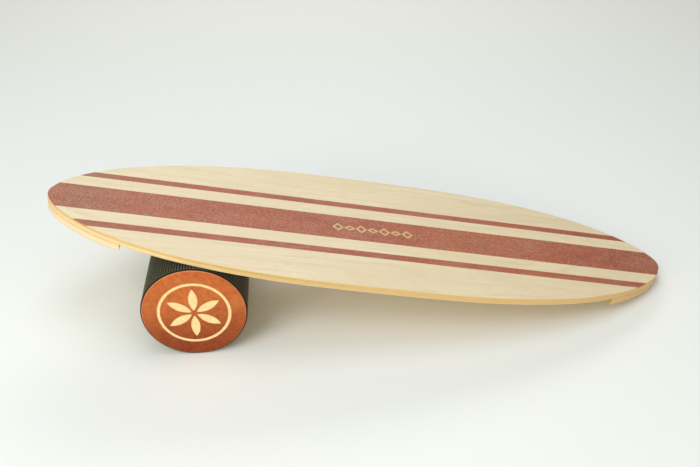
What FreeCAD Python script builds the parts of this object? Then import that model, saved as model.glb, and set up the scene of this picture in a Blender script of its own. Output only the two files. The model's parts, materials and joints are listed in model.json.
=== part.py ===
import FreeCAD, Part
import json
import math
import os

# Balance board: a lens-shaped plywood deck with a stopper under each end,
# resting on a loose roller.  Millimetres, +Z up.
# +X runs along the length of the deck, +Y across it, floor at Z = 0.
# Origin: middle of the footprint, on the floor.
# The deck lies as it is put down: one end on the floor, the other end carried
# by the roller.

V = FreeCAD.Vector

# ---------------------------------------------------------------- dimensions
deck_length = 800.0
deck_width = 255.0
# a quarter of the outline, from the widest point to the tip, is a chain of
# tangent arcs; these are the headings where one arc hands over to the next,
# and the radii of all but the last two, which close the curve on the tip
outline_headings = (0.0, 1.619, 10.506, 23.878, 41.582, 66.772, 90.0)
outline_radii = (3045.0, 845.5, 443.7, 225.9)
sheet_thickness = 8.7       # birch plywood sheet, used for deck and stoppers
ply_count = 7               # veneers in the sheet
top_arris_radius = 1.0      # rounding of the upper edge of the deck
lower_arris_radius = 0.7    # rounding of the lower edges

stopper_reach = 96.0        # from the tip of the deck to the stopper's inner edge

screw_length = 15.0
screw_head_diameter = 7.0
screw_head_height = 2.0
screw_shank_diameter = 3.5
screw_point_length = 4.0
screw_clearance = 0.05      # gap all round the screws in the plies
screw_sink = 0.3            # head sits this far below the face of the stopper
screw_rows = ((20.0, 62.0), (58.0, 30.0))   # (from the inner edge, +/- across)

roller_diameter = 124.0
roller_length = 236.0
sheath_thickness = 1.55
sheath_setback = 1.0        # the sheath ends this far short of the disc faces
skin_gap = 0.05             # between the sheath and what it is stretched over
tube_wall = 4.0
disc_thickness = 8.7
disc_arris_radius = 0.8
rib_thickness = 8.7
rib_offset = 52.0           # side ribs, from the middle of the roller
rib_gap = 0.3               # between the ribs and the bore of the tube

contact_u = -211.4          # where the roller meets the underside, from mid-deck
running_gap = 0.3           # between roller and deck

emblem_depth = 0.6          # recess in the outer face of each end disc
emblem_ring_outer = 43.0
emblem_ring_inner = 39.2
rosette_radius = 34.5
petal_count = 6
petal_width_factor = 0.62

ornament_depth = 0.35       # shallow engraved row of lozenges at mid-deck
ornament_length = 106.0
ornament_height = 17.0
ornament_count = 7
ornament_line = 1.7
stripe_offset_v = -4.5      # the stripes sit this far off the middle line

# ---------------------------------------------------------------- derived
L2 = deck_length / 2.0
W2 = deck_width / 2.0
R = roller_diameter / 2.0
Rg = R + running_gap
ply = sheet_thickness / ply_count
t = sheet_thickness
ra = lower_arris_radius
tube_or = R - sheath_thickness - skin_gap
tube_ir = tube_or - tube_wall


def tip_height(tau):
    # height of the lowest point of the stopper under the +X end
    return (R + (Rg - t + ra) * math.cos(tau)
            - (L2 - ra - contact_u) * math.sin(tau) - ra)


lo, hi = 0.05, 0.5
for _ in range(80):
    mid = 0.5 * (lo + hi)
    if tip_height(mid) > 0.0:
        lo = mid
    else:
        hi = mid
tilt = 0.5 * (lo + hi)
ct, st = math.cos(tilt), math.sin(tilt)

x_min = -(L2 - ra) * ct + (-t + ra) * st - ra
x_max = (L2 - top_arris_radius) * ct + (t - top_arris_radius) * st + top_arris_radius
deck_x0 = -0.5 * (x_min + x_max)
deck_z0 = R + contact_u * st + Rg * ct
axis_x = deck_x0 + contact_u * ct - Rg * st
axis_z = R

# deck frame: u along the deck, v = Y, n up through the sheet, n = 0 underside
deck_place = FreeCAD.Placement(V(deck_x0, 0, deck_z0),
                               FreeCAD.Rotation(V(0, 1, 0), math.degrees(tilt)))

os.makedirs("parts", exist_ok=True)
nodes = {}


def keep(name, shape):
    nodes[name] = shape


def on_deck(shape):
    out = shape.copy()
    out.transformShape(deck_place.toMatrix(), True)
    return out


# ---------------------------------------------------------------- outline
def close_radii():
    h = [math.radians(a) for a in outline_headings]
    sx = [math.sin(h[i + 1]) - math.sin(h[i]) for i in range(len(h) - 1)]
    sy = [math.cos(h[i]) - math.cos(h[i + 1]) for i in range(len(h) - 1)]
    bx = L2 - sum(r * k for r, k in zip(outline_radii, sx))
    by = W2 - sum(r * k for r, k in zip(outline_radii, sy))
    det = sx[-2] * sy[-1] - sx[-1] * sy[-2]
    r5 = (bx * sy[-1] - sx[-1] * by) / det
    r6 = (sx[-2] * by - bx * sy[-2]) / det
    return h, list(outline_radii) + [r5, r6]


headings, radii = close_radii()
print("outline radii", [round(r, 2) for r in radii])


def quarter_arcs():
    # (start, middle, end) of each arc from the widest point to the tip
    out = []
    x, y = 0.0, W2
    for i, r in enumerate(radii):
        a0, a1 = headings[i], headings[i + 1]

        def at(a):
            return (x + r * (math.sin(a) - math.sin(a0)),
                    y - r * (math.cos(a0) - math.cos(a)))

        out.append((at(a0), at(0.5 * (a0 + a1)), at(a1)))
        x, y = at(a1)
    return out


def outline_face(z):
    q = quarter_arcs()
    first, last = q[0], q[-1]
    tip = (L2, 0.0)
    top = (0.0, W2)
    arcs = []

    def arc(p0, pm, p1):
        arcs.append(Part.Arc(V(p0[0], p0[1], z), V(pm[0], pm[1], z),
                             V(p1[0], p1[1], z)).toShape())

    def flip(p, su, sv):
        return (su * p[0], sv * p[1])

    # clockwise, seen from above, from the middle of the +v side
    arc(flip(first[2], -1, 1), top, first[2])
    for p0, pm, p1 in q[1:-1]:
        arc(p0, pm, p1)
    arc(last[0], tip, flip(last[0], 1, -1))
    for p0, pm, p1 in reversed(q[1:-1]):
        arc(flip(p1, 1, -1), flip(pm, 1, -1), flip(p0, 1, -1))
    arc(flip(first[2], 1, -1), flip(top, 1, -1), flip(first[2], -1, -1))
    for p0, pm, p1 in q[1:-1]:
        arc(flip(p0, -1, -1), flip(pm, -1, -1), flip(p1, -1, -1))
    arc(flip(last[0], -1, -1), flip(tip, -1, 1), flip(last[0], -1, 1))
    for p0, pm, p1 in reversed(q[1:-1]):
        arc(flip(p1, -1, 1), flip(pm, -1, 1), flip(p0, -1, 1))
    return Part.Face(Part.Wire(arcs))


def slab(z0, z1):
    return outline_face(z0).extrude(V(0, 0, z1 - z0))


def edges_at(shape, z):
    found = []
    for e in shape.Edges:
        b = e.BoundBox
        if abs(b.ZMin - z) < 1e-4 and abs(b.ZMax - z) < 1e-4:
            found.append(e)
    return found


# ---------------------------------------------------------------- screws
def screw_profile(extra, deep):
    # outline of half a countersunk screw, pointing along +n from n = 0
    rh = screw_head_diameter / 2.0 + extra
    rs = screw_shank_diameter / 2.0 + extra
    hh = screw_head_height
    le = screw_length + extra
    pts = []
    if deep > 0.0:
        pts += [V(0, 0, -deep), V(rh, 0, -deep)]
    else:
        pts += [V(0, 0, 0)]
    pts += [V(rh, 0, 0), V(rh, 0, 0.25), V(rs, 0, hh),
            V(rs, 0, le - screw_point_length), V(0.25 + extra, 0, le), V(0, 0, le)]
    w = Part.makePolygon(pts + [pts[0]])
    return Part.Face(w)


def screw_solid():
    s = screw_profile(0.0, 0.0).revolve(V(0, 0, 0), V(0, 0, 1), 360)
    # cross recess in the head
    a = Part.makeBox(4.4, 0.9, 1.5, V(-2.2, -0.45, -0.01))
    b = Part.makeBox(0.9, 4.4, 1.5, V(-0.45, -2.2, -0.01))
    return s.cut(a.fuse(b))


def screw_hole():
    return screw_profile(screw_clearance, 2.0).revolve(V(0, 0, 0), V(0, 0, 1), 360)


def screw_places(side):
    out = []
    for du, dv in screw_rows:
        for sv in (-1, 1):
            out.append(V(side * (L2 - stopper_reach + du), sv * dv, -t + screw_sink))
    return out


hole_tools = []
for side in (-1, 1):
    for p in screw_places(side):
        h = screw_hole()
        h.translate(p)
        hole_tools.append(h)


def drilled(shape):
    box = shape.BoundBox
    for h in hole_tools:
        if box.intersect(h.BoundBox):
            shape = shape.cut(h)
    return shape


# ---------------------------------------------------------------- ornament
def lozenge_frames():
    # a row of open lozenges, engraved through the stain of the middle stripe
    pitch = ornament_length / ornament_count
    out = []
    for i in range(ornament_count):
        cu = -ornament_length / 2.0 + pitch * (i + 0.5)
        hw = pitch * 0.46
        hh = ornament_height / 2.0
        if i % 2 == 1:
            hh *= 0.62

        def loz(a, b):
            pts = [V(cu - a, stripe_offset_v, 0), V(cu, stripe_offset_v - b, 0),
                   V(cu + a, stripe_offset_v, 0), V(cu, stripe_offset_v + b, 0)]
            return Part.Face(Part.makePolygon(pts + [pts[0]]))

        k = ornament_line * math.hypot(hw, hh)
        outer = loz(hw, hh)
        inner = loz(hw - k / hh, hh - k / hw)
        out.append(outer.cut(inner))
    return out


# ---------------------------------------------------------------- deck
deck_names = ["deck_ply_7_back", "deck_ply_6_cross", "deck_ply_5_long",
              "deck_ply_4_core", "deck_ply_3_long", "deck_ply_2_cross",
              "deck_ply_1_face"]
for i, name in enumerate(deck_names):
    z0, z1 = i * ply, (i + 1) * ply
    s = slab(z0, z1)
    if i == 0:
        s = s.makeFillet(ra, edges_at(s, z0))
    if i == ply_count - 1:
        s = s.makeFillet(top_arris_radius, edges_at(s, z1))
        for f in lozenge_frames():
            cutter = f.extrude(V(0, 0, ornament_depth + 1.0))
            cutter.translate(V(0, 0, t - ornament_depth))
            s = s.cut(cutter)
    keep(name, on_deck(drilled(s)))

# ---------------------------------------------------------------- stoppers
for side, word in ((-1, "left"), (1, "right")):
    u_in = side * (L2 - stopper_reach)
    u_out = side * (L2 + 10.0)
    for i in range(ply_count):
        # ply 1 is glued to the deck, ply 7 is the one that touches the floor
        z1 = -i * ply
        z0 = z1 - ply
        s = slab(z0, z1)
        box = Part.makeBox(abs(u_out - u_in), deck_width + 20.0, ply + 2.0,
                           V(min(u_in, u_out), -W2 - 10.0, z0 - 1.0))
        s = s.common(box)
        if i == ply_count - 1:
            s = s.makeFillet(ra, edges_at(s, z0))
        keep("stopper_%s_ply_%d" % (word, i + 1), on_deck(drilled(s)))
    group = []
    for p in screw_places(side):
        sc = screw_solid()
        sc.translate(p)
        group.append(on_deck(sc))
    keep("stopper_%s_screws" % word, Part.makeCompound(group))

# ---------------------------------------------------------------- roller
H2 = roller_length / 2.0


def about_axis(profile):
    # profile points are (radius, y); revolved about the roller's own axis
    pts = [V(axis_x + r, y, axis_z) for r, y in profile]
    f = Part.Face(Part.makePolygon(pts + [pts[0]]))
    return f.revolve(V(axis_x, 0, axis_z), V(0, 1, 0), 360)


def ring(r_out, r_in, y0, y1, edge=0.0):
    if edge > 0.0:
        prof = [(r_in, y0), (r_out - edge, y0), (r_out, y0 + edge),
                (r_out, y1 - edge), (r_out - edge, y1), (r_in, y1)]
    else:
        prof = [(r_in, y0), (r_out, y0), (r_out, y1), (r_in, y1)]
    return about_axis(prof)


def disc(r, y0, y1):
    c = Part.makeCylinder(r, y1 - y0, V(axis_x, y0, axis_z), V(0, 1, 0))
    return c


hs = H2 - sheath_setback
keep("grip_sheath", ring(R, R - sheath_thickness, -hs, hs, 0.3))
keep("roller_tube", ring(tube_or, tube_ir, -(H2 - disc_thickness), H2 - disc_thickness))


def petal(angle):
    # leaf made of two arcs, from near the middle out to the rosette radius
    r0, r1 = 3.2, rosette_radius
    rm = 0.5 * (r0 + r1)
    w = 0.5 * (r1 - r0) * petal_width_factor * 0.55
    ca, sa = math.cos(angle), math.sin(angle)

    def at(r, s):
        return V(axis_x + r * ca - s * sa, 0, axis_z + r * sa + s * ca)

    a = Part.Arc(at(r0, 0), at(rm, w), at(r1, 0)).toShape()
    b = Part.Arc(at(r1, 0), at(rm, -w), at(r0, 0)).toShape()
    return Part.Face(Part.Wire([a, b]))


def emblem_tool(y_face, outward):
    # ring and leaves, cut into the face that looks along "outward"
    start = y_face + outward * 1.0
    run = -outward * (1.0 + emblem_depth)
    ring_tool = Part.makeCylinder(emblem_ring_outer, abs(run),
                                  V(axis_x, start, axis_z), V(0, -outward, 0))
    ring_core = Part.makeCylinder(emblem_ring_inner, abs(run),
                                  V(axis_x, start, axis_z), V(0, -outward, 0))
    tools = [ring_tool.cut(ring_core)]
    for k in range(petal_count):
        f = petal(math.radians(90.0) + 2.0 * math.pi * k / petal_count)
        f.translate(V(0, start, 0))
        tools.append(f.extrude(V(0, run, 0)))
    return tools


for word, sgn in (("near", -1), ("far", 1)):
    y_out = sgn * H2
    y_in = sgn * (H2 - disc_thickness)
    d = disc(tube_or, min(y_out, y_in), max(y_out, y_in))
    rim = [e for e in d.Edges if abs(e.BoundBox.YMin - y_out) < 1e-4
           and abs(e.BoundBox.YMax - y_out) < 1e-4]
    d = d.makeFillet(disc_arris_radius, rim)
    for tool in emblem_tool(y_out, sgn):
        d = d.cut(tool)
    keep("end_disc_%s" % word, d)
    y_plug = sgn * (H2 - 2.0 * disc_thickness)
    keep("end_plug_%s" % word,
         disc(tube_ir - skin_gap, min(y_in, y_plug), max(y_in, y_plug)))

hr = rib_thickness / 2.0
keep("tube_rib_centre", disc(tube_ir - rib_gap, -hr, hr))
keep("tube_rib_near", disc(tube_ir - rib_gap, -rib_offset - hr, -rib_offset + hr))
keep("tube_rib_far", disc(tube_ir - rib_gap, rib_offset - hr, rib_offset + hr))

# ---------------------------------------------------------------- write
# travel of the deck before a stopper meets the roller
reach = math.sqrt(Rg * Rg - (Rg - t) ** 2)
u_in = L2 - stopper_reach
travel_min = -(u_in - reach + contact_u)
travel_max = u_in - reach - contact_u
# tilt at which the -X end touches the floor with the roller at the +X stopper
c_far = u_in - reach


def far_tip(phi):
    return (R + (Rg - t + ra) * math.cos(phi)
            - (L2 - ra + c_far) * math.sin(phi) - ra)


lo, hi = 0.05, 0.5
for _ in range(80):
    mid = 0.5 * (lo + hi)
    if far_tip(mid) > 0.0:
        lo = mid
    else:
        hi = mid
tilt_far = 0.5 * (lo + hi)

for name, shape in sorted(nodes.items()):
    if not shape.isValid():
        shape = shape.copy()
        shape.fix(1e-5, 1e-5, 1e-4)
    print("%-24s valid=%s solids=%d volume=%.1f" % (name, shape.isValid(),
                                                   len(shape.Solids), shape.Volume))
    shape.exportStep("parts/%s.step" % name)

allbox = FreeCAD.BoundBox()
for s in nodes.values():
    allbox.add(s.BoundBox)
print("box", allbox)
print("LAYOUT " + json.dumps(dict(
    tilt=tilt, deck_x0=deck_x0, deck_z0=deck_z0, axis_x=axis_x, axis_z=axis_z,
    R=R, Rg=Rg, L2=L2, W2=W2, t=t, reach=reach, travel_min=travel_min,
    travel_max=travel_max, tilt_far=tilt_far, H2=H2, tube_or=tube_or,
    tube_ir=tube_ir, ply=ply, u_in=u_in)))
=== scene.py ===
import bpy
import json
import math
import numpy as np
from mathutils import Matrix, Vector


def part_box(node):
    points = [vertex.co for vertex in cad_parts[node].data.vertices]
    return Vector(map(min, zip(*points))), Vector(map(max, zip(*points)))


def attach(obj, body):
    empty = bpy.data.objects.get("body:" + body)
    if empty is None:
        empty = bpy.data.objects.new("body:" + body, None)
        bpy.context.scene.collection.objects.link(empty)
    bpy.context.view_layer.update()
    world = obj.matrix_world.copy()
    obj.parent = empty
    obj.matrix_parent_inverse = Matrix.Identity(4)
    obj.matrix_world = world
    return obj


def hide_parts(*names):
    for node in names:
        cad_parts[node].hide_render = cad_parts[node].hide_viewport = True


# Looks for a plywood balance board on its loose roller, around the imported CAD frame. Metres.

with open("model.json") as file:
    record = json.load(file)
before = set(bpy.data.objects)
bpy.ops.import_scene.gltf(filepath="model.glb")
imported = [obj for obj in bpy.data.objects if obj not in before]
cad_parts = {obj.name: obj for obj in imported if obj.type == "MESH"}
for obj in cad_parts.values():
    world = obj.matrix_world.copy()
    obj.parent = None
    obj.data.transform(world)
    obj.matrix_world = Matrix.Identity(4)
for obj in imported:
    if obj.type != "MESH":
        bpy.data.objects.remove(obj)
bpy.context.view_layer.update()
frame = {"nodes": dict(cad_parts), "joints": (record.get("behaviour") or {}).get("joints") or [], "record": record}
scene = bpy.context.scene
nodes = frame["nodes"]

# ------------------------------------------------------------------ frame of the deck and the roller
mount = next(m for m in frame["record"]["mounts"] if m["name"] == "standing_surface")
N = Vector(mount["axis"]).normalized()
TILT = math.atan2(N.x, N.z)
U = Vector((math.cos(TILT), 0.0, -math.sin(TILT)))
SHEET = 0.0087
P0 = Vector(mount["pos_m"])
P0.y = 0.0
P0 = P0 - N * SHEET                      # middle of the deck's underside
spin = next(j for j in frame["joints"] if j["name"] == "roller_spin")
AXIS = Vector(spin["pos_m"])             # on the roller's axis
AXIS.y = 0.0
PLY = SHEET / 7.0
STRIPE_V = -4.5                          # mm, the stripes' own middle line across the deck


# ------------------------------------------------------------------ a small kit for node trees
class Tree:
    def __init__(self, name):
        self.mat = bpy.data.materials.new(name)
        self.mat.use_nodes = True
        self.nt = self.mat.node_tree
        self.nt.nodes.clear()
        self.out = self.nt.nodes.new("ShaderNodeOutputMaterial")
        self.bsdf = self.nt.nodes.new("ShaderNodeBsdfPrincipled")
        self.link(self.bsdf.outputs[0], self.out.inputs[0])

    def link(self, a, b):
        self.nt.links.new(a, b)

    def put(self, socket, value):
        if isinstance(value, bpy.types.NodeSocket):
            self.link(value, socket)
        elif value is not None:
            if hasattr(socket.default_value, "__len__") and not hasattr(value, "__len__"):
                value = (value,) * len(socket.default_value)
            if hasattr(value, "__len__") and len(value) == 3 and len(socket.default_value) == 4:
                value = tuple(value) + (1.0,)
            socket.default_value = value

    def math(self, op, a, b=None, c=None, clamp=False):
        n = self.nt.nodes.new("ShaderNodeMath")
        n.operation = op
        n.use_clamp = clamp
        self.put(n.inputs[0], a)
        if b is not None:
            self.put(n.inputs[1], b)
        if c is not None:
            self.put(n.inputs[2], c)
        return n.outputs[0]

    def add(self, a, b):
        return self.math("ADD", a, b)

    def sub(self, a, b):
        return self.math("SUBTRACT", a, b)

    def mul(self, a, b):
        return self.math("MULTIPLY", a, b)

    def vmath(self, op, a, b=None):
        n = self.nt.nodes.new("ShaderNodeVectorMath")
        n.operation = op
        self.put(n.inputs[0], a)
        if b is not None:
            self.put(n.inputs[1], b)
        return n.outputs["Value"] if op in ("DOT_PRODUCT", "LENGTH") else n.outputs[0]

    def xyz(self, x, y, z):
        n = self.nt.nodes.new("ShaderNodeCombineXYZ")
        self.put(n.inputs[0], x)
        self.put(n.inputs[1], y)
        self.put(n.inputs[2], z)
        return n.outputs[0]

    def parts(self, v):
        n = self.nt.nodes.new("ShaderNodeSeparateXYZ")
        self.put(n.inputs[0], v)
        return n.outputs

    def coords(self):
        return self.nt.nodes.new("ShaderNodeTexCoord").outputs

    def noise(self, vec, scale=1.0, detail=3.0, rough=0.5, distortion=0.0):
        n = self.nt.nodes.new("ShaderNodeTexNoise")
        self.put(n.inputs["Vector"], vec)
        n.inputs["Scale"].default_value = scale
        n.inputs["Detail"].default_value = detail
        n.inputs["Roughness"].default_value = rough
        n.inputs["Distortion"].default_value = distortion
        return n.outputs["Fac"]

    def voronoi(self, vec, scale=1.0, feature="F1"):
        n = self.nt.nodes.new("ShaderNodeTexVoronoi")
        n.feature = feature
        self.put(n.inputs["Vector"], vec)
        n.inputs["Scale"].default_value = scale
        return n.outputs["Distance"]

    def grains(self, vec, scale=1.0):
        """(random value of the grain a point is in, distance from the grain's middle)"""
        n = self.nt.nodes.new("ShaderNodeTexVoronoi")
        n.feature = "F1"
        self.put(n.inputs["Vector"], vec)
        n.inputs["Scale"].default_value = scale
        return self.parts(n.outputs["Color"])[0], n.outputs["Distance"]

    def ramp(self, fac, *stops):
        n = self.nt.nodes.new("ShaderNodeValToRGB")
        self.put(n.inputs[0], fac)
        e = n.color_ramp.elements
        while len(e) < len(stops):
            e.new(0.5)
        for el, (p, c) in zip(e, stops):
            el.position = p
            el.color = (c, c, c, 1.0) if not hasattr(c, "__len__") else tuple(c) + (1.0,)
        return n.outputs[0]

    def step(self, x, lo, hi):
        # 0 below lo, 1 above hi, smooth between; lo > hi turns it round
        n = self.nt.nodes.new("ShaderNodeMapRange")
        n.interpolation_type = "SMOOTHSTEP"
        self.put(n.inputs["Value"], x)
        if lo <= hi:
            n.inputs["From Min"].default_value = lo
            n.inputs["From Max"].default_value = hi
        else:
            n.inputs["From Min"].default_value = hi
            n.inputs["From Max"].default_value = lo
            n.inputs["To Min"].default_value = 1.0
            n.inputs["To Max"].default_value = 0.0
        return n.outputs[0]

    def span(self, x, lo, hi, a, b):
        n = self.nt.nodes.new("ShaderNodeMapRange")
        self.put(n.inputs["Value"], x)
        for key, val in (("From Min", lo), ("From Max", hi), ("To Min", a), ("To Max", b)):
            n.inputs[key].default_value = val
        return n.outputs[0]

    def mix(self, fac, a, b):
        n = self.nt.nodes.new("ShaderNodeMix")
        n.data_type = "RGBA"
        self.put(n.inputs[0], fac)
        self.put(n.inputs[6], a)
        self.put(n.inputs[7], b)
        return n.outputs[2]

    def tint(self, fac, a, b):
        # a times b
        n = self.nt.nodes.new("ShaderNodeMix")
        n.data_type = "RGBA"
        n.blend_type = "MULTIPLY"
        self.put(n.inputs[0], fac)
        self.put(n.inputs[6], a)
        self.put(n.inputs[7], b)
        return n.outputs[2]

    def bump(self, height, distance, strength=1.0, normal=None):
        n = self.nt.nodes.new("ShaderNodeBump")
        n.inputs["Strength"].default_value = strength
        n.inputs["Distance"].default_value = distance
        self.put(n.inputs["Height"], height)
        if normal is not None:
            self.link(normal, n.inputs["Normal"])
        return n.outputs[0]

    def finish(self, color, rough, normal=None, **fixed):
        self.put(self.bsdf.inputs["Base Color"], color)
        self.put(self.bsdf.inputs["Roughness"], rough)
        if normal is not None:
            self.link(normal, self.bsdf.inputs["Normal"])
        for key, value in fixed.items():
            self.bsdf.inputs[key.replace("_", " ")].default_value = value
        return self.mat


def deck_coords(t):
    """(u, v, n, vector) in millimetres: along the deck, across it, up through the sheet."""
    obj = t.coords()["Object"]
    rel = t.vmath("SUBTRACT", obj, tuple(P0))
    u = t.mul(t.vmath("DOT_PRODUCT", rel, tuple(U)), 1000.0)
    v = t.mul(t.parts(rel)[1], 1000.0)
    n = t.mul(t.vmath("DOT_PRODUCT", rel, tuple(N)), 1000.0)
    return u, v, n, t.xyz(u, v, n)


def birch(t, u, v, n, seed, light, dark, warm):
    """Colour and height of a sliced birch face with its grain along u."""
    along = t.xyz(t.add(t.mul(u, 0.004), seed), t.mul(v, 0.16), t.mul(n, 0.10))
    broad = t.noise(along, 1.0, 4.0, 0.55, 0.6)
    fine = t.noise(t.xyz(t.add(t.mul(u, 0.020), seed), t.mul(v, 1.05), t.mul(n, 1.0)), 1.0, 5.0, 0.62)
    hair = t.noise(t.xyz(t.mul(u, 0.10), t.mul(v, 3.6), t.mul(n, 3.0)), 1.0, 3.0, 0.6)
    patch = t.noise(t.xyz(t.add(t.mul(u, 0.010), seed * 2.0), t.mul(v, 0.022), 0.0), 1.0, 3.0, 0.5, 0.8)
    # figure of the rotary-cut face: long lazy lines that open and close
    drift = t.noise(t.xyz(t.add(t.mul(u, 0.0032), seed), t.mul(v, 0.012), 0.0), 1.0, 2.0, 0.5)
    lines = t.math("SINE", t.add(t.mul(v, 0.30), t.mul(drift, 34.0)))
    lines = t.step(lines, 0.30, 1.0)
    flecks = t.noise(t.xyz(t.add(t.mul(u, 0.16), seed), t.mul(v, 1.9), 0.0), 1.0, 2.0, 0.5)
    flecks = t.step(flecks, 0.63, 0.72)
    tone = t.add(t.mul(broad, 0.46), t.mul(fine, 0.36))
    tone = t.add(tone, t.mul(hair, 0.18))
    tone = t.add(tone, t.mul(lines, 0.10))
    mottle = t.noise(t.xyz(t.add(t.mul(u, 0.075), seed), t.mul(v, 0.11), t.mul(n, 0.1)), 1.0, 4.0, 0.62, 0.6)
    tone = t.add(t.mul(tone, 0.80), t.mul(mottle, 0.24))
    tone = t.step(tone, 0.34, 0.84)
    colour = t.mix(tone, light, dark)
    colour = t.mix(t.mul(t.step(patch, 0.40, 0.66), 0.75), colour, warm)
    colour = t.mix(t.mul(flecks, 0.36), colour, tuple(c * 0.55 for c in dark))
    return colour, t.add(t.mul(fine, 0.6), t.mul(hair, 0.4)), tone


def glue(t, n, lines, half=0.10, soft=0.10):
    """1 in the thin dark glue lines at the given heights of the sheet (mm)."""
    total = None
    for z in lines:
        d = t.math("ABSOLUTE", t.sub(n, z))
        m = t.step(d, half + soft, half)
        total = m if total is None else t.math("MAXIMUM", total, m)
    return total


# ------------------------------------------------------------------ materials of the deck
STRIPE_HALF = 26.84
BAND_IN, BAND_OUT = 49.92, 62.09


def face_material():
    t = Tree("face_veneer_birch_with_stain")
    u, v, n, vec = deck_coords(t)
    bare, grain, tone = birch(t, u, v, n, 3.7, (0.855, 0.735, 0.520), (0.700, 0.548, 0.328), (0.785, 0.638, 0.424))

    # stain stripes, a centre band and a thin band on each side, with a slightly bled edge
    bleed = t.noise(t.xyz(t.mul(u, 0.35), t.mul(v, 1.4), 0.0), 1.0, 3.0, 0.6)
    off = t.math("ABSOLUTE", t.sub(v, STRIPE_V))
    off = t.add(off, t.mul(t.sub(bleed, 0.5), 0.9))
    centre = t.step(off, STRIPE_HALF + 0.22, STRIPE_HALF - 0.22)
    thin = t.mul(t.step(off, BAND_IN - 0.22, BAND_IN + 0.22), t.step(off, BAND_OUT + 0.22, BAND_OUT - 0.22))
    stain = t.math("MAXIMUM", centre, thin)

    # the engraved row goes through the stain to bare wood
    deep = t.step(n, SHEET * 1000.0 - 0.10, SHEET * 1000.0 - 0.20)
    near_row = t.mul(t.step(t.math("ABSOLUTE", u), 62.0, 60.0), t.step(t.math("ABSOLUTE", t.sub(v, STRIPE_V)), 13.0, 12.0))
    cut = t.mul(deep, near_row)
    # the stain has chipped back a little along the engraved lines
    pitch, half_u = 106.0 / 7.0, 106.0 / 7.0 * 0.46
    along = t.math("FLOORED_MODULO", t.add(u, 53.0), 2.0 * pitch)
    odd = t.step(along, pitch - 0.01, pitch + 0.01)
    chips = None
    for mid, half_v, here in ((0.5 * pitch, 8.5, t.sub(1.0, odd)), (1.5 * pitch, 8.5 * 0.62, odd)):
        reach = half_u * half_v / math.hypot(half_u, half_v)
        q = t.add(t.mul(t.math("ABSOLUTE", t.sub(along, mid)), 1.0 / half_u),
                  t.mul(t.math("ABSOLUTE", t.sub(v, STRIPE_V)), 1.0 / half_v))
        d = t.mul(t.sub(q, 1.0), reach)
        m = t.mul(t.mul(t.step(d, 0.50, 0.28), t.step(d, -2.20, -1.98)), here)
        chips = m if chips is None else t.math("MAXIMUM", chips, m)
    chips = t.mul(chips, t.step(t.math("ABSOLUTE", u), 53.4, 53.1))
    stain_here = t.mul(stain, t.sub(1.0, cut))

    # body of the stain: a red brown wash over the grain, with pale and dark grit in it
    long_tone = t.noise(t.xyz(t.mul(u, 0.010), t.mul(v, 0.05), 0.0), 1.0, 4.0, 0.6, 0.5)
    wash = t.mix(t.step(long_tone, 0.32, 0.70), (0.455, 0.106, 0.046), (0.372, 0.078, 0.034))
    wash = t.mix(t.mul(tone, 0.40), wash, (0.285, 0.062, 0.030))
    wash = t.mix(t.mul(t.mul(t.step(u, 20.0, 110.0), t.step(u, 300.0, 200.0)), 0.30), wash, (0.520, 0.165, 0.078))
    # painted sheen and shade: the wash is greyer towards the raised end and darker towards the low end, standing in
    # for reflected light
    wash = t.mix(t.mul(t.step(u, -140.0, -380.0), 0.16), wash, (0.330, 0.120, 0.078))
    wash = t.mix(t.mul(t.step(u, 240.0, 390.0), 0.40), wash, (0.270, 0.095, 0.060))
    # a painted grey sheen near the raised tip
    wash = t.mix(t.mul(t.mul(t.step(u, -300.0, -345.0), t.step(u, -392.0, -372.0)), 0.40), wash, (0.270, 0.125, 0.088))
    dusty = t.noise(t.xyz(t.mul(u, 0.022), t.mul(v, 0.055), 2.0), 1.0, 4.0, 0.65, 0.8)
    wash = t.mix(t.mul(t.step(dusty, 0.46, 0.66), 0.55), wash, (0.400, 0.170, 0.118))
    wash = t.mix(t.mul(t.step(dusty, 0.46, 0.30), 0.34), wash, (0.245, 0.058, 0.032))
    cell, off_cell = t.grains(vec, 0.68)
    cell2, off_cell2 = t.grains(t.vmath("ADD", vec, (31.0, 17.0, 5.0)), 1.35)
    pale = t.mul(t.step(cell, 0.56, 0.86), t.step(off_cell, 0.66, 0.30))
    pale = t.math("MAXIMUM", pale, t.mul(t.mul(t.step(cell2, 0.70, 0.92), t.step(off_cell2, 0.62, 0.30)), 0.8))
    pale = t.mul(pale, t.sub(1.0, t.mul(thin, 0.60)))
    dark = t.mul(t.step(cell, 0.34, 0.12), t.step(off_cell, 0.66, 0.36))
    wash = t.mix(t.mul(pale, 0.74), wash, (0.625, 0.275, 0.160))
    wash = t.mix(t.mul(t.mul(dark, t.sub(1.0, t.mul(thin, 0.35))), 0.84), wash, (0.150, 0.034, 0.018))
    # the wash gathers on the rounded edge, where it is more orange
    rim = t.step(n, SHEET * 1000.0 - 0.04, SHEET * 1000.0 - 0.30)
    wash = t.mix(t.mul(rim, 0.65), wash, (0.520, 0.135, 0.050))

    mark = t.vmath("LENGTH", t.xyz(t.sub(u, -338.0), t.mul(t.sub(v, -100.0), 1.0), 0.0))
    wobble = t.noise(t.xyz(t.mul(u, 0.4), t.mul(v, 0.4), 0.0), 1.0, 2.0, 0.5)
    mark = t.step(t.math("ABSOLUTE", t.sub(t.add(mark, t.mul(wobble, 2.0)), 22.5)), 0.75, 0.25)
    mark = t.mul(mark, t.mul(t.step(u, -358.0, -354.0), t.step(u, -340.0, -345.0)))
    mark = t.mul(mark, t.step(v, -84.0, -81.0))
    bare = t.mix(t.mul(mark, 0.60), bare, (0.300, 0.200, 0.100))
    colour = t.mix(t.mul(stain_here, 0.97), bare, wash)
    colour = t.mix(t.mul(cut, 0.96), colour, t.mix(grain, (0.980, 0.800, 0.480), (0.880, 0.660, 0.350)))
    colour = t.mix(t.mul(t.mul(chips, t.sub(1.0, cut)), 0.85), colour, (0.840, 0.560, 0.320))
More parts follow.
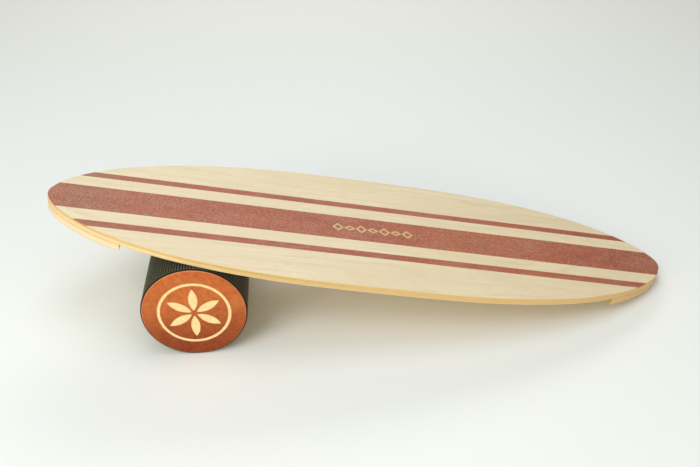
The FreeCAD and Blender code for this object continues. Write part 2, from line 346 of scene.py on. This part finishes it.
    # the glue line under the face veneer, and a darker ochre edge on the face veneer
    line = glue(t, n, [SHEET * 1000.0 - 1.2429], 0.16, 0.16)
    colour = t.mix(t.mul(line, 0.80), colour, (0.300, 0.165, 0.070))
    edge = t.mul(rim, t.sub(1.0, stain_here))
    colour = t.mix(t.mul(edge, 0.88), colour, (0.590, 0.430, 0.190))

    rough = t.add(t.span(grain, 0.3, 0.7, 0.42, 0.56), t.mul(stain_here, 0.08))
    bump = t.bump(grain, 0.00005, 0.5)
    bump = t.bump(t.mul(t.add(t.mul(pale, 1.0), t.mul(dark, -0.6)), stain_here), 0.00012, 0.55, bump)
    return t.finish(colour, rough, bump, Coat_Weight=0.06, Coat_Roughness=0.30, Specular_IOR_Level=0.38)


def back_material(name, seed):
    """Underside of the deck and of the stoppers: plain lacquered birch."""
    t = Tree(name)
    u, v, n, vec = deck_coords(t)
    bare, grain, tone = birch(t, u, v, n, seed, (0.800, 0.620, 0.380), (0.650, 0.450, 0.230), (0.710, 0.520, 0.290))
    # rubbed track of the roller, and scuffs from the floor
    scuff = t.noise(t.xyz(t.mul(u, 0.05), t.mul(v, 0.5), t.mul(n, 0.5)), 1.0, 5.0, 0.7)
    track = t.mul(t.step(t.math("ABSOLUTE", v), 119.0, 112.0), t.step(t.math("ABSOLUTE", u), 300.0, 260.0))
    colour = t.mix(t.mul(t.mul(t.step(scuff, 0.50, 0.68), track), 0.22), bare, (0.300, 0.250, 0.200))
    line = glue(t, n, [1.2429, -6 * 1.2429], 0.10, 0.12)
    colour = t.mix(t.mul(line, 0.70), colour, (0.300, 0.165, 0.070))
    rough = t.span(grain, 0.3, 0.7, 0.42, 0.58)
    return t.finish(colour, rough, t.bump(grain, 0.00006, 0.6), Coat_Weight=0.10, Coat_Roughness=0.35)


def edge_material(name, fibre, seed):
    """A veneer seen on its edge. fibre is the direction its fibres run in."""
    t = Tree(name)
    u, v, n, vec = deck_coords(t)
    normal = t.coords()["Normal"]
    end = t.math("ABSOLUTE", t.vmath("DOT_PRODUCT", normal, tuple(fibre)))
    end = t.step(end, 0.25, 0.95)
    if abs(fibre[1]) > 0.5:
        run, across = v, u
    else:
        run, across = u, v
    streak = t.noise(t.xyz(t.add(t.mul(run, 0.05), seed), t.mul(across, 0.9), t.mul(n, 3.4)), 1.0, 5.0, 0.62)
    pores = t.noise(t.xyz(t.mul(u, 4.2), t.mul(v, 4.2), t.mul(n, 4.2)), 1.0, 2.0, 0.5)
    slow = t.noise(t.xyz(t.add(t.mul(u, 0.035), seed * 3.0), t.mul(v, 0.035), seed), 1.0, 3.0, 0.55)
    side = t.mix(t.step(streak, 0.30, 0.72), (0.830, 0.640, 0.340), (0.745, 0.540, 0.262))
    butt = t.mix(t.step(pores, 0.34, 0.66), (0.790, 0.590, 0.300), (0.710, 0.508, 0.240))
    colour = t.mix(end, side, butt)
    colour = t.mix(t.mul(t.step(slow, 0.45, 0.70), 0.40), colour, (0.720, 0.510, 0.240))
    # painted shade: the edge is darker and yellower towards the low end, and stays paler at the raised end where the
    # light falls
    colour = t.tint(t.step(u, -265.0, -150.0), colour, (0.815, 0.755, 0.620))
    # the upper plies are darker than the lower ones; the stoppers' plies are painted palest at the raised end only, a
    # painted highlight where the light falls
    colour = t.tint(t.mul(t.step(n, 4.2, 5.6), t.step(u, 60.0, -260.0)), colour, (0.810, 0.740, 0.600))
    colour = t.mix(t.mul(t.step(n, 0.3, -3.5), t.step(u, -60.0, -200.0)), colour, (0.770, 0.600, 0.410))
    # a few small tight voids in the inner veneers
    gap = t.noise(t.xyz(t.add(t.mul(u, 0.09), seed), t.mul(v, 0.09), t.mul(n, 0.9)), 1.0, 1.0, 0.4)
    colour = t.mix(t.mul(t.step(gap, 0.77, 0.80), 0.75), colour, (0.180, 0.095, 0.040))
    k = [i * PLY * 1000.0 for i in range(-7, 8)]
    colour = t.mix(t.mul(glue(t, n, k, 0.05, 0.07), 0.24), colour, (0.360, 0.215, 0.090))
    rough = t.span(t.add(t.mul(streak, 0.5), t.mul(pores, 0.5)), 0.3, 0.7, 0.42, 0.62)
    height = t.add(t.mul(streak, 0.5), t.mul(t.mul(pores, end), 0.7))
    return t.finish(colour, rough, t.bump(height, 0.00007, 0.6), Coat_Weight=0.12, Coat_Roughness=0.35)


# ------------------------------------------------------------------ materials of the roller
def roller_coords(t):
    """(across, along the axis, up, radius) from the roller's own axis, in millimetres."""
    obj = t.coords()["Object"]
    rel = t.vmath("SUBTRACT", obj, tuple(AXIS))
    x, y, z = t.parts(rel)[0:3]
    x, y, z = t.mul(x, 1000.0), t.mul(y, 1000.0), t.mul(z, 1000.0)
    r = t.vmath("LENGTH", t.xyz(x, 0.0, z))
    return x, y, z, r


def disc_material():
    t = Tree("stained_disc")
    x, y, z, r = roller_coords(t)
    # the grain of the disc's face runs up and a little across
    g = t.add(t.mul(x, 0.94), t.mul(z, 0.34))
    h = t.add(t.mul(z, 0.94), t.mul(x, -0.34))
    side = t.mul(t.math("SIGN", y), 7.3)
    broad = t.noise(t.xyz(t.mul(g, 0.060), t.mul(h, 0.022), side), 1.0, 4.0, 0.6, 1.4)
    fine = t.noise(t.xyz(t.mul(g, 0.60), t.mul(h, 0.045), side), 1.0, 5.0, 0.6, 0.3)
    blotch = t.noise(t.xyz(t.mul(x, 0.055), t.mul(z, 0.055), side), 1.0, 4.0, 0.65, 0.8)
    pores = t.noise(t.xyz(t.mul(g, 1.9), t.mul(h, 0.22), side), 1.0, 2.0, 0.5)
    cloud = t.noise(t.xyz(t.mul(x, 0.16), t.mul(z, 0.16), t.add(side, 3.0)), 1.0, 5.0, 0.7, 0.4)
    tone = t.add(t.add(t.mul(broad, 0.22), t.mul(fine, 0.16)), t.add(t.mul(blotch, 0.26), t.mul(cloud, 0.42)))
    stain = t.mix(t.step(tone, 0.38, 0.68), (0.560, 0.150, 0.028), (0.335, 0.062, 0.013))
    stain = t.mix(t.mul(t.step(blotch, 0.48, 0.64), 0.46), stain, (0.600, 0.200, 0.042))
    specks = t.noise(t.xyz(t.mul(x, 0.55), t.mul(z, 0.55), t.add(side, 9.0)), 1.0, 3.0, 0.6)
    stain = t.mix(t.mul(t.step(specks, 0.56, 0.70), 0.42), stain, (0.270, 0.048, 0.012))
    stain = t.mix(t.mul(t.step(specks, 0.44, 0.32), 0.30), stain, (0.700, 0.240, 0.070))
    stain = t.mix(t.mul(t.step(pores, 0.60, 0.72), 0.40), stain, (0.230, 0.045, 0.016))
    # darker towards the foot
    stain = t.tint(t.mul(t.step(z, 26.0, -58.0), 1.0), stain, (0.46, 0.29, 0.16))
    # bare wood in the routed emblem
    deep = t.step(t.math("ABSOLUTE", y), 118.0 - 0.22, 118.0 - 0.42)
    inside = t.step(r, 48.0, 47.0)
    cut = t.mul(deep, inside)
    wood = t.mix(t.step(t.add(t.mul(fine, 0.25), t.mul(cloud, 0.75)), 0.36, 0.64), (0.850, 0.680, 0.370), (0.770, 0.580, 0.280))
    wall = t.mul(t.mul(t.step(t.math("ABSOLUTE", y), 118.0 - 0.05, 118.0 - 0.25), inside), t.sub(1.0, cut))
    colour = t.mix(cut, stain, wood)
    colour = t.mix(t.mul(wall, 0.6), colour, (0.250, 0.090, 0.030))
    # the stain has rubbed thin on the rim
    rim = t.step(r, 59.3, 60.2)
    colour = t.mix(t.mul(rim, 0.42), colour, (0.760, 0.330, 0.120))
    rough = t.span(fine, 0.3, 0.7, 0.36, 0.52)
    bump = t.bump(t.add(t.mul(fine, 0.5), t.mul(pores, -0.5)), 0.00006, 0.6)
    return t.finish(colour, rough, bump, Coat_Weight=0.04, Coat_Roughness=0.35, Specular_IOR_Level=0.26)


def rubber_material():
    t = Tree("grip_rubber")
    x, y, z, r = roller_coords(t)
    dust = t.noise(t.xyz(t.mul(x, 0.035), t.mul(y, 0.035), t.mul(z, 0.035)), 1.0, 4.0, 0.6)
    grainy = t.noise(t.xyz(t.mul(x, 3.0), t.mul(y, 3.0), t.mul(z, 3.0)), 1.0, 2.0, 0.6)
    # the grooves of the knurl are painted near black as painted shade, and its tops are rubbed a little paler
    top = t.step(r, 61.62, 61.93)
    base = t.mix(top, (0.003, 0.003, 0.002), (0.112, 0.112, 0.070))
    base = t.mix(t.mul(t.mul(t.step(dust, 0.45, 0.75), top), 0.45), base, (0.086, 0.090, 0.066))
    base = t.mix(t.mul(t.mul(t.step(grainy, 0.55, 0.75), top), 0.30), base, (0.150, 0.146, 0.098))
    rough = t.span(grainy, 0.3, 0.7, 0.50, 0.68)
    return t.finish(base, rough, t.bump(grainy, 0.00008, 0.5), Specular_IOR_Level=0.22)


def wood_disc_material(name, seed):
    """Raw plywood of the hidden plugs and ribs."""
    t = Tree(name)
    x, y, z, r = roller_coords(t)
    fine = t.noise(t.xyz(t.mul(x, 0.05), t.mul(z, 0.7), t.add(t.mul(y, 0.3), seed)), 1.0, 5.0, 0.62)
    broad = t.noise(t.xyz(t.mul(x, 0.02), t.mul(z, 0.10), seed), 1.0, 3.0, 0.5, 0.6)
    layer = t.math("SINE", t.mul(y, 2.0 * math.pi / (2.0 * PLY * 1000.0)))
    face = t.mix(t.step(t.add(t.mul(fine, 0.5), t.mul(broad, 0.5)), 0.34, 0.68), (0.760, 0.600, 0.390), (0.580, 0.410, 0.230))
    rim = t.mix(t.step(layer, -0.3, 0.3), (0.680, 0.480, 0.260), (0.480, 0.310, 0.150))
    colour = t.mix(t.step(r, 55.4, 56.0), face, rim)
    return t.finish(colour, t.span(fine, 0.3, 0.7, 0.6, 0.8), t.bump(fine, 0.0001, 0.7))


def tube_material():
    t = Tree("tube_wall_grey")
    x, y, z, r = roller_coords(t)
    draw = t.noise(t.xyz(t.mul(x, 0.4), t.mul(y, 0.01), t.mul(z, 0.4)), 1.0, 4.0, 0.6)
    colour = t.mix(draw, (0.36, 0.37, 0.38), (0.48, 0.49, 0.50))
    return t.finish(colour, t.span(draw, 0.3, 0.7, 0.32, 0.50), t.bump(draw, 0.00006, 0.5))


def steel_material():
    t = Tree("screw_zinc_steel")
    u, v, n, vec = deck_coords(t)
    wear = t.noise(vec, 1.1, 4.0, 0.6)
    colour = t.mix(t.step(wear, 0.40, 0.66), (0.66, 0.63, 0.52), (0.46, 0.43, 0.34))
    return t.finish(colour, t.span(wear, 0.3, 0.7, 0.26, 0.46), t.bump(wear, 0.00004, 0.5), Metallic=1.0)


# ------------------------------------------------------------------ materials onto the nodes
def paint(obj, material):
    obj.data.materials.clear()
    obj.data.materials.append(material)


mats = {
    "face": face_material(),
    "back": back_material("back_veneer_birch", 11.3),
    "pad_left": back_material("pad_veneer_left", 23.9),
    "pad_right": back_material("pad_veneer_right", 31.1),
    "long": edge_material("edge_long_grain", U, 5.0),
    "cross": edge_material("edge_cross_grain", Vector((0.0, 1.0, 0.0)), 9.0),
    "disc": disc_material(),
    "rubber": rubber_material(),
    "tube": tube_material(),
    "plug": wood_disc_material("plug_plywood", 2.0),
    "rib": wood_disc_material("rib_plywood", 6.0),
    "steel": steel_material(),
}


def kind_of(name):
    if name == "deck_ply_1_face":
        return "face"
    if name == "deck_ply_7_back":
        return "back"
    if name.endswith("_screws"):
        return "steel"
    if name.startswith("stopper_left_ply_7"):
        return "pad_left"
    if name.startswith("stopper_right_ply_7"):
        return "pad_right"
    if "_ply_" in name:
        index = int(name.split("_ply_")[1].split("_")[0])
        return "cross" if index % 2 == 0 else "long"
    if name.startswith("end_disc"):
        return "disc"
    if name.startswith("end_plug"):
        return "plug"
    if name.startswith("tube_rib"):
        return "rib"
    if name == "roller_tube":
        return "tube"
    return "rubber"


for name, obj in nodes.items():
    paint(obj, mats[kind_of(name)])

# ------------------------------------------------------------------ the knurled rubber sleeve
def knurled_sleeve():
    """A rubber sleeve whose outer face is a grid of small square lands between V grooves."""
    lo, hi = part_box("grip_sheath")
    y0, y1 = lo.y, hi.y
    r_out = (hi.z - lo.z) / 2.0
    r_in = r_out - 0.00155
    depth, pitch, margin = 0.00055, 0.0034, 0.0012
    steps = (0.0, 0.30, 0.70)                 # groove, near and far side of a land, as shares of the pitch
    cells = int(round(2.0 * math.pi * r_out / pitch))
    angles, land_col = [], []
    for i in range(cells):
        for j, share in enumerate(steps):
            angles.append((i + share) * 2.0 * math.pi / cells)
            land_col.append(j > 0)
    n_round = len(angles)
    rows = int(round((y1 - y0 - 2 * margin) / pitch))
    run = (y1 - y0 - 2 * margin) / rows
    # (place along the axis, radius, 0 = plain, 1 = land, 2 = groove)
    ring = [(y0 + 0.0002, r_in, 0), (y0, r_in + 0.0002, 0), (y0, r_out - 0.0007, 0),
            (y0 + 0.0001, r_out - 0.0004, 0), (y0 + 0.0004, r_out - 0.0002, 0)]
    for i in range(rows):
        for j, share in enumerate(steps):
            ring.append((y0 + margin + (i + share) * run, r_out - 0.00002, 1 if j else 2))
    ring.append((y1 - margin, r_out - 0.00002, 2))
    ring += [(y1 - 0.0004, r_out - 0.0002, 0), (y1 - 0.0001, r_out - 0.0004, 0), (y1, r_out - 0.0007, 0),
             (y1, r_in + 0.0002, 0), (y1 - 0.0002, r_in, 0)]
    verts, faces = [], []
    for y, r, kind in ring:
        for a, land in zip(angles, land_col):
            rr = r if kind == 0 or (kind == 1 and land) else r - depth
            verts.append((AXIS.x + rr * math.cos(a), y, AXIS.z + rr * math.sin(a)))
    m = len(ring)
    for k in range(m):
        k2 = (k + 1) % m
        for i in range(n_round):
            i2 = (i + 1) % n_round
            a, b, c, d = k * n_round + i, k * n_round + i2, k2 * n_round + i2, k2 * n_round + i
            if ring[k][2] and ring[k2][2]:
                # the diagonal runs from a groove crossing to the corner of a land
                low_a = ring[k][2] == 2 and not land_col[i]
                low_c = ring[k2][2] == 2 and not land_col[i2]
                if low_a or low_c:
                    faces += [(a, b, c), (a, c, d)]
                else:
                    faces += [(a, b, d), (b, c, d)]
            else:
                faces.append((a, b, c, d))
    mesh = bpy.data.meshes.new("roller_grip_sleeve")
    mesh.from_pydata(verts, [], [f[::-1] for f in faces])     # faces turned to look outwards
    mesh.update()
    obj = bpy.data.objects.new("roller_grip_sleeve", mesh)
    scene.collection.objects.link(obj)
    paint(obj, mats["rubber"])
    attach(obj, "roller")
    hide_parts("grip_sheath")
    return obj


sleeve = knurled_sleeve()

# ------------------------------------------------------------------ floor, light and camera
def floor_material():
    t = Tree("floor_pale")
    obj = t.coords()["Object"]
    soft = t.noise(obj, 1.2, 3.0, 0.5)
    colour = t.mix(soft, (0.865, 0.885, 0.870), (0.885, 0.900, 0.890))
    return t.finish(colour, t.span(soft, 0.0, 1.0, 0.62, 0.70), None, Specular_IOR_Level=0.25)


mesh = bpy.data.meshes.new("studio_floor")
mesh.from_pydata([(-9, -6, 0), (9, -6, 0), (9, 12, 0), (-9, 12, 0)], [], [(0, 1, 2, 3)])
mesh.update()
floor = bpy.data.objects.new("studio_floor", mesh)
scene.collection.objects.link(floor)
paint(floor, floor_material())

world = bpy.data.worlds.new("studio_world")
scene.world = world
world.use_nodes = True
world.node_tree.nodes["Background"].inputs[0].default_value = (1.0, 0.992, 0.945, 1.0)
world.node_tree.nodes["Background"].inputs[1].default_value = 0.214


def soft_light(name, place, aim, size, energy, colour):
    data = bpy.data.lights.new(name, "AREA")
    data.shape = "RECTANGLE"
    data.size, data.size_y = size
    data.energy = energy
    data.color = colour
    obj = bpy.data.objects.new(name, data)
    scene.collection.objects.link(obj)
    obj.location = place
    obj.rotation_mode = "QUATERNION"
    obj.rotation_quaternion = (Vector(aim) - Vector(place)).to_track_quat("-Z", "Y")
    return obj


CENTRE = (0.0, 0.0, 0.05)
soft_light("top_front_soft", (0.0, -0.9, 2.0), CENTRE, (1.6, 1.6), 10.2, (0.744, 0.877, 1.0))
soft_light("top_left_front_soft", (-1.2, -1.4, 1.8), CENTRE, (1.2, 1.2), 20.2, (0.985, 1.0, 0.990))
soft_light("overhead_soft", (0.0, 0.1, 2.2), CENTRE, (1.0, 1.0), 9.1, (0.796, 0.900, 1.0))
soft_light("back_soft", (0.0, 2.3, 1.8), CENTRE, (2.2, 1.0), 26.2, (1.0, 0.962, 0.862))
soft_light("front_left_low_soft", (-1.9, -1.6, 0.7), CENTRE, (1.2, 1.0), 19.7, (0.995, 1.0, 0.814))
soft_light("front_right_low_soft", (1.7, -1.8, 0.7), CENTRE, (1.2, 1.0), 8.9, (1.0, 0.720, 0.376))
soft_light("front_low_soft", (0.0, -2.6, 0.9), CENTRE, (1.6, 1.0), 15.4, (1.0, 0.800, 0.480))

cam_data = bpy.data.cameras.new("camera")
cam_data.sensor_width = 36.0
cam_data.lens = 816.73 * 36.0 / 700.0
cam_data.clip_start, cam_data.clip_end = 0.01, 60.0
cam = bpy.data.objects.new("camera", cam_data)
scene.collection.objects.link(cam)
PITCH, YAW, ROLL = math.radians(33.0), math.radians(4.81), 0.002
fwd = Vector((math.sin(YAW) * math.cos(PITCH), math.cos(YAW) * math.cos(PITCH), -math.sin(PITCH)))
right = Vector((math.cos(YAW), -math.sin(YAW), 0.0))
up = right.cross(fwd)
r2 = right * math.cos(ROLL) + up * math.sin(ROLL)
u2 = -right * math.sin(ROLL) + up * math.cos(ROLL)
from mathutils import Matrix
rot = Matrix((r2, u2, -fwd)).transposed()
cam.matrix_world = Matrix.Translation(Vector((-0.10122, -0.87804, 0.65876))) @ rot.to_4x4()
scene.camera = cam

scene.view_settings.view_transform = "Standard"
